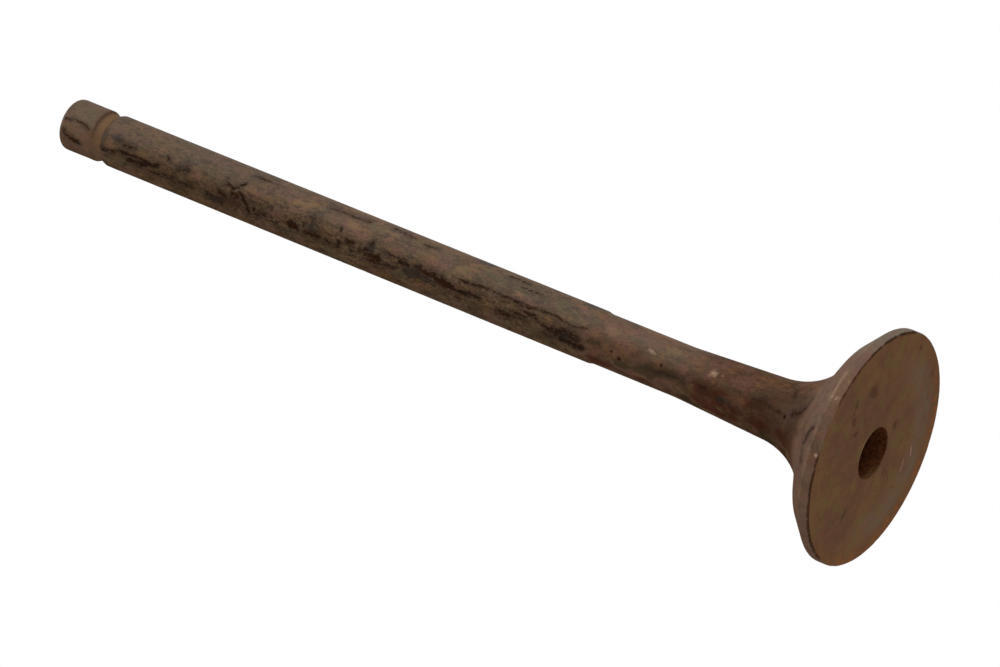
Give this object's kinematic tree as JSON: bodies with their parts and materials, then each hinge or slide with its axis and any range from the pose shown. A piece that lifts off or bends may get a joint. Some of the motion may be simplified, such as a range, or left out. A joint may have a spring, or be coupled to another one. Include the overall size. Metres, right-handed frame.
{
  "type": "engine valve",
  "caption": "Worn poppet valve forged in one piece, with a flat head, seat face, relieved neck, long stem and keeper groove.",
  "frame": {"origin": "centre of the flat combustion face of the head, on which the valve stands", "axes": "+Z along the stem from the head to the tip; -X points towards the side on which the recess in the face lies off centre"},
  "size_m": [0.0392, 0.0392, 0.1594],
  "materials": {
    "valve_steel": "dull brown oxide on worn steel"
  },
  "bodies": {
    "root": {"valve": "valve_steel"}
  },
  "joints": []
}
